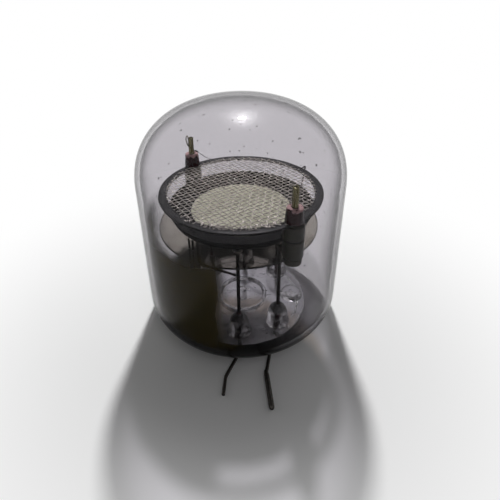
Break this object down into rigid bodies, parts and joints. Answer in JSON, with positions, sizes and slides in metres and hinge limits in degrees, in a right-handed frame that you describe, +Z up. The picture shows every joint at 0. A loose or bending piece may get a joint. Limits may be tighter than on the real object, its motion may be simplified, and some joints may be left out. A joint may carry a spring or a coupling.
{
  "type": "vacuum tube",
  "caption": "Sealed glass vacuum tube with a fine mesh grid over a round coated target, filament posts and bare wire leads.",
  "frame": {"origin": "on the tube's axis, in the plane that the bent leads stand on", "axes": "+Z up along the tube's axis to the domed top, -Y to the side the two long leads leave, +X to the right as seen from that side"},
  "size_m": [0.0508, 0.0617, 0.0605],
  "materials": {
    "bulb_glass": "clear blown soda glass, faintly grey",
    "stem_glass": "clear pressed glass",
    "seal_metal": "dark red oxidised seal wire",
    "blackened_nickel": "blackened, satin",
    "grid_wire": "drawn and woven",
    "nickel_wire": "drawn",
    "bright_nickel": "pressed",
    "black_pan": "carbonised, matt",
    "cream_coating": "sprayed powder coating, matt",
    "mica": "clear brown mica",
    "post_nickel": "drawn tube, tarnished",
    "bead_ceramic": "brown glazed",
    "spacer_ceramic": "grey green fired",
    "tungsten": "drawn",
    "lead_wire": "oxidised"
  },
  "bodies": {
    "root": {"bead_left": "bead_ceramic", "bead_right": "bead_ceramic", "bulb": "bulb_glass", "coated_disc": "cream_coating", "exhaust_tube": "stem_glass", "filament": "tungsten", "filament_stub": "tungsten", "foot_collar_left": "spacer_ceramic", "foot_collar_right": "spacer_ceramic", "getter_legs": "nickel_wire", "getter_ring": "bright_nickel", "grid_lead": "nickel_wire", "grid_ring": "blackened_nickel", "grid_warp": "grid_wire", "grid_weft": "grid_wire", "inner_rod_back": "nickel_wire", "inner_rod_back_left": "nickel_wire", "inner_rod_back_right": "nickel_wire", "inner_rod_front": "nickel_wire", "inner_rod_front_left": "nickel_wire", "inner_rod_front_right": "nickel_wire", "jumper_wire": "nickel_wire", "lower_spacer_left": "spacer_ceramic", "lower_spacer_right": "spacer_ceramic", "mica_disc": "mica", "mica_eyelets": "bright_nickel", "outer_lead_back": "lead_wire", "outer_lead_back_left": "lead_wire", "outer_lead_back_right": "lead_wire", "outer_lead_front": "lead_wire", "outer_lead_front_left": "lead_wire", "outer_lead_front_right": "lead_wire", "post_flap": "post_nickel", "post_left": "post_nickel", "post_right": "post_nickel", "post_strap_left": "bright_nickel", "post_strap_right": "bright_nickel", "seal_wires": "seal_metal", "stem": "stem_glass", "target_deck": "black_pan", "target_pan": "black_pan", "upper_spacer_left": "spacer_ceramic", "upper_spacer_right": "spacer_ceramic"}
  },
  "joints": []
}
